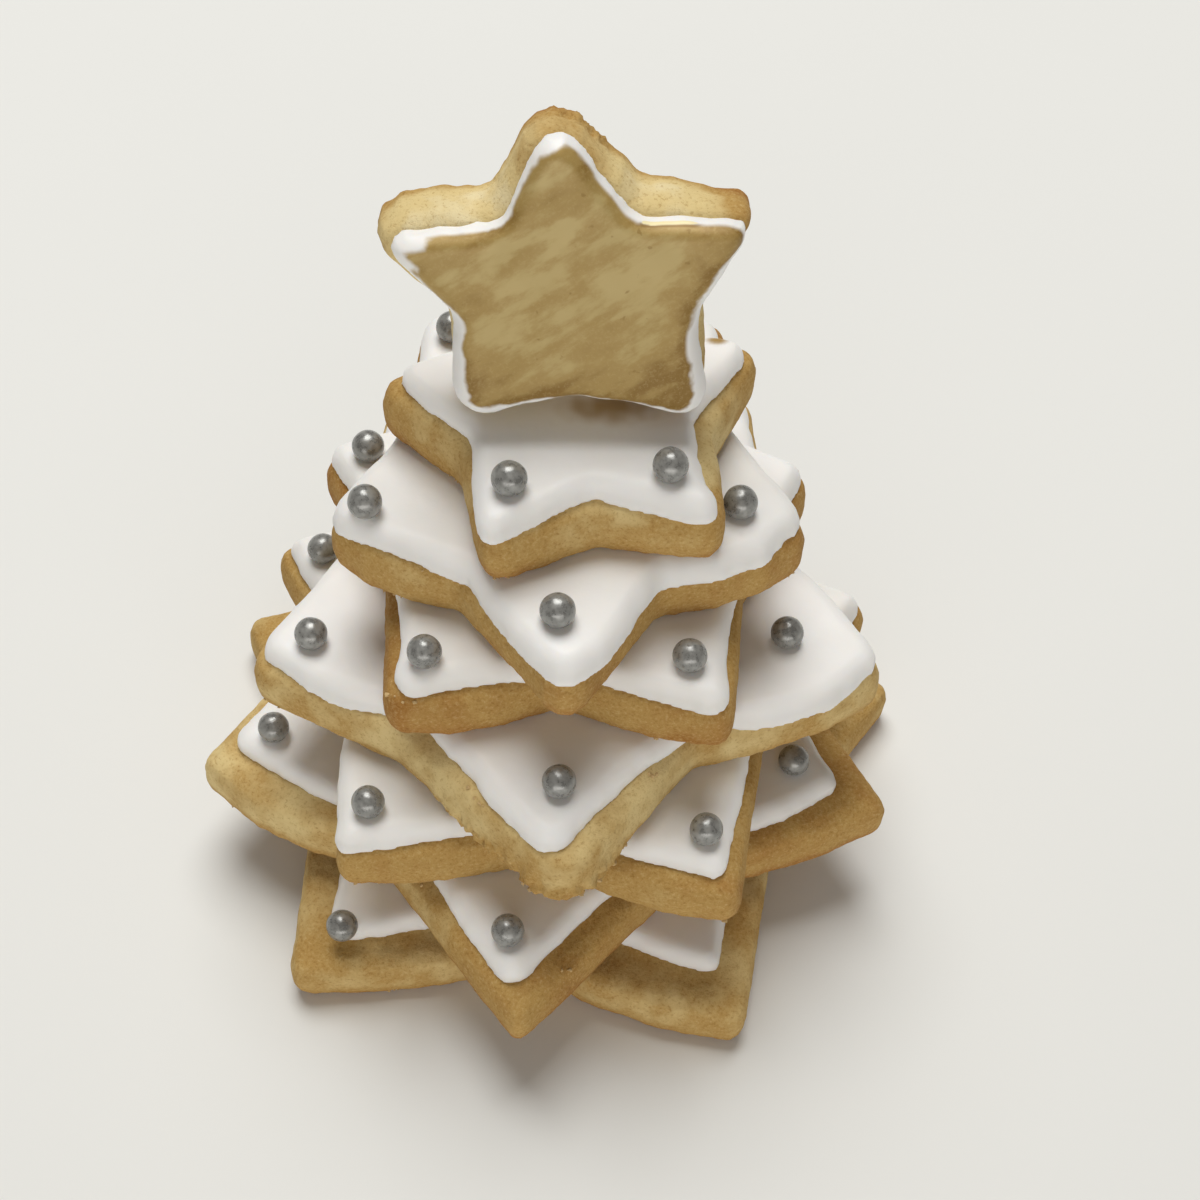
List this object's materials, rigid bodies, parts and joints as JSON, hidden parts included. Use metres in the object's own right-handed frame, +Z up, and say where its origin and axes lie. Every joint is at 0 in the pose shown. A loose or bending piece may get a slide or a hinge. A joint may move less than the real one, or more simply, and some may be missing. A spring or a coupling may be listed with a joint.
{
  "type": "iced sugar cookie tree",
  "caption": "Small tree of stacked white-iced star cookies that shrink towards the top, with silver dragees on their tips and a gold-brushed star cookie standing on top.",
  "frame": {"origin": "middle of the bottom cookie's flat underside, on the surface it rests on", "axes": "+Z up through the stack, -Y towards the front that the standing star's iced face looks to, +X to the right seen from the front"},
  "size_m": [0.095, 0.097, 0.1083],
  "materials": {
    "cookie": "matt baked dough",
    "icing": "satin dried sugar icing",
    "gold_icing": "icing brushed with dull edible gold paint",
    "dragee": "mottled silver coating"
  },
  "bodies": {
    "root": {"cookie_1": "cookie", "icing_1": "icing", "dragee_1_2": "dragee", "dragee_1_3": "dragee", "dragee_1_4": "dragee", "dragee_1_5": "dragee", "cookie_2": "cookie", "icing_2": "icing", "dragee_2_1": "dragee", "dragee_2_2": "dragee", "dragee_2_3": "dragee", "dragee_2_4": "dragee", "dragee_2_5": "dragee", "cookie_3": "cookie", "icing_3": "icing", "dragee_3_1": "dragee", "dragee_3_3": "dragee", "dragee_3_4": "dragee", "dragee_3_5": "dragee", "cookie_4": "cookie", "icing_4": "icing", "dragee_4_1": "dragee", "dragee_4_2": "dragee", "dragee_4_3": "dragee", "dragee_4_4": "dragee", "dragee_4_5": "dragee", "cookie_5": "cookie", "icing_5": "icing", "dragee_5_1": "dragee", "dragee_5_3": "dragee", "dragee_5_4": "dragee", "dragee_5_5": "dragee", "cookie_6": "cookie", "icing_6": "icing", "dragee_6_1": "dragee", "dragee_6_2": "dragee", "dragee_6_3": "dragee", "dragee_6_4": "dragee", "dragee_6_5": "dragee", "cookie_7": "cookie", "icing_7": "icing", "dragee_7_1": "dragee", "dragee_7_5": "dragee", "cookie_top": "cookie", "icing_top": "gold_icing"}
  },
  "joints": []
}
